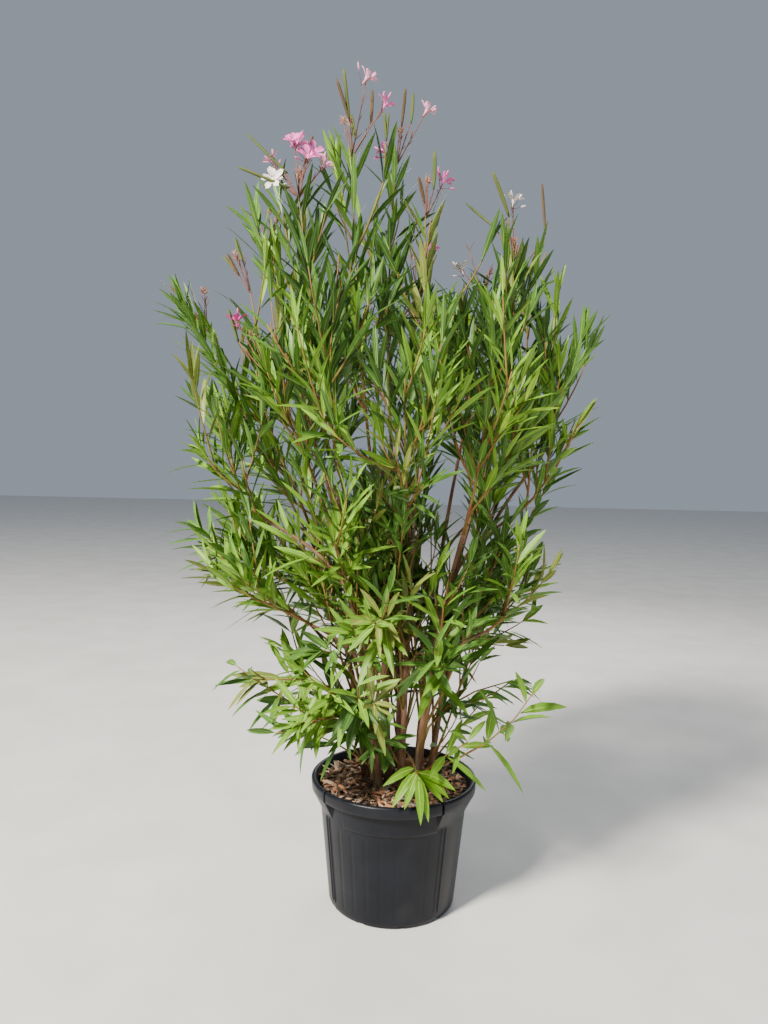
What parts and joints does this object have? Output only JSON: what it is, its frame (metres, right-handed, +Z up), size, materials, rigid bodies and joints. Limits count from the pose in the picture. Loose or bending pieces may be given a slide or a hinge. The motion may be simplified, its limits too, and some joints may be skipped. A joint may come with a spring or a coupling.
{
  "type": "potted oleander",
  "caption": "Shrubby oleander with bare canes, narrow leaves, pink and white flowers and long seed pods, growing in a round black nursery pot",
  "frame": {"origin": "centre of the flat underside of the pot, where it rests on the ground", "axes": "+Z up; -Y towards the viewer of the picture (the front); +X to the viewer's right; millimetre source, metres in the row"},
  "size_m": [1.2427, 1.0693, 2.4468],
  "materials": {
    "pot": "matt black moulded plastic, slightly glossier on the rolled lip",
    "soil": "dark potting mix with bark chips and dry leaves on top",
    "bark": "grey-brown bark, smoother and greener towards the tips",
    "foliage": "leathery green leaves with pale midribs on thin green twigs"
  },
  "bodies": {
    "root": {"bough_back_left": "bark", "bough_back_right": "bark", "bough_front": "bark", "bough_front_left": "bark", "bough_front_left_low": "bark", "bough_front_right_low": "bark", "bough_left": "bark", "bough_left_high": "bark", "bough_right": "bark", "bough_right_high": "bark", "foliage_back_crest": "foliage", "foliage_back_left": "foliage", "foliage_back_low": "foliage", "foliage_back_right": "foliage", "foliage_front": "foliage", "foliage_front_left": "foliage", "foliage_front_left_low": "foliage", "foliage_front_low": "foliage", "foliage_front_right": "foliage", "foliage_front_right_low": "foliage", "foliage_front_sprig": "foliage", "foliage_left_back_crest": "foliage", "foliage_left_crest": "foliage", "foliage_left_front": "foliage", "foliage_left_high": "foliage", "foliage_left_low": "foliage", "foliage_left_side": "foliage", "foliage_left_sprig": "foliage", "foliage_left_wing": "foliage", "foliage_middle_sprig": "foliage", "foliage_right_back_crest": "foliage", "foliage_right_crest": "foliage", "foliage_right_outer": "foliage", "foliage_right_side": "foliage", "foliage_right_wing": "foliage", "foliage_rim_sprig": "foliage", "foliage_skirt_back": "foliage", "foliage_skirt_back_left": "foliage", "foliage_skirt_front_left": "foliage", "foliage_skirt_left": "foliage", "foliage_skirt_right": "foliage", "foliage_skirt_right_back": "foliage", "foliage_top_front": "foliage", "foliage_top_left": "foliage", "foliage_top_right": "foliage", "pot": "pot", "soil": "soil", "stem_back": "bark", "stem_back_left": "bark", "stem_back_right": "bark", "stem_front": "bark", "stem_front_right": "bark", "stem_left": "bark", "stem_left_front": "bark", "stem_left_high": "bark", "stem_middle_back": "bark", "stem_middle_left": "bark", "stem_right": "bark", "stem_right_outer": "bark"}
  },
  "joints": []
}
